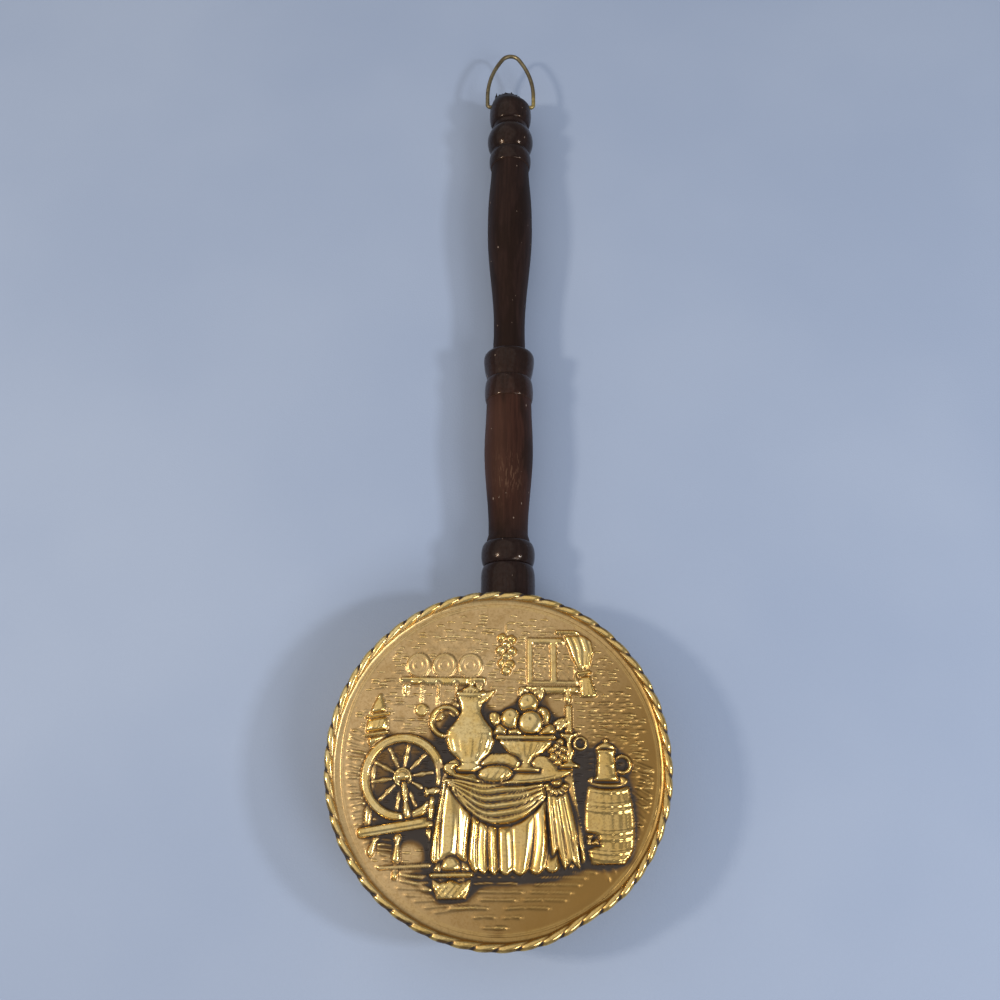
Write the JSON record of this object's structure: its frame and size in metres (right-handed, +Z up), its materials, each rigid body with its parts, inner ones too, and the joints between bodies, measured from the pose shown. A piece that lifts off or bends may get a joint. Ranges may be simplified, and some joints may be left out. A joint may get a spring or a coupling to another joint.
{
  "type": "bed warming pan",
  "caption": "Small wall-hanging bed warming pan: shallow round brass pan under an embossed cover with a rope edge, on a turned wooden handle with a swinging wire ring.",
  "frame": {"origin": "centre of the pan's flat base, which the object rests on", "axes": "+Z up out of the embossed cover, +Y along the handle towards the hanging ring, +X to the right seen from above"},
  "size_m": [0.156, 0.4929, 0.0348],
  "materials": {
    "embossed_brass": "satin pressed brass, bright on the raised forms and brown in the recesses",
    "pan_brass": "spun brass, dulled by handling",
    "dark_wood": "turned, stained dark brown and varnished",
    "screw_steel": "plain steel wood screw",
    "washer_steel": "plain steel",
    "ring_brass": "drawn wire, dull olive brass"
  },
  "bodies": {
    "pan": {"back_pan": "pan_brass", "front_cover": "embossed_brass", "handle": "dark_wood", "handle_screw": "screw_steel", "saddle_washer": "washer_steel"},
    "ring": {"hanging_ring": "ring_brass"}
  },
  "joints": [
    {"name": "ring_swing", "type": "hinge", "parent": "pan", "child": "ring", "pos_m": [0.0037, 0.3757, 0.0155], "axis": [1, 0, 0], "range_deg": [-155, 155]}
  ]
}
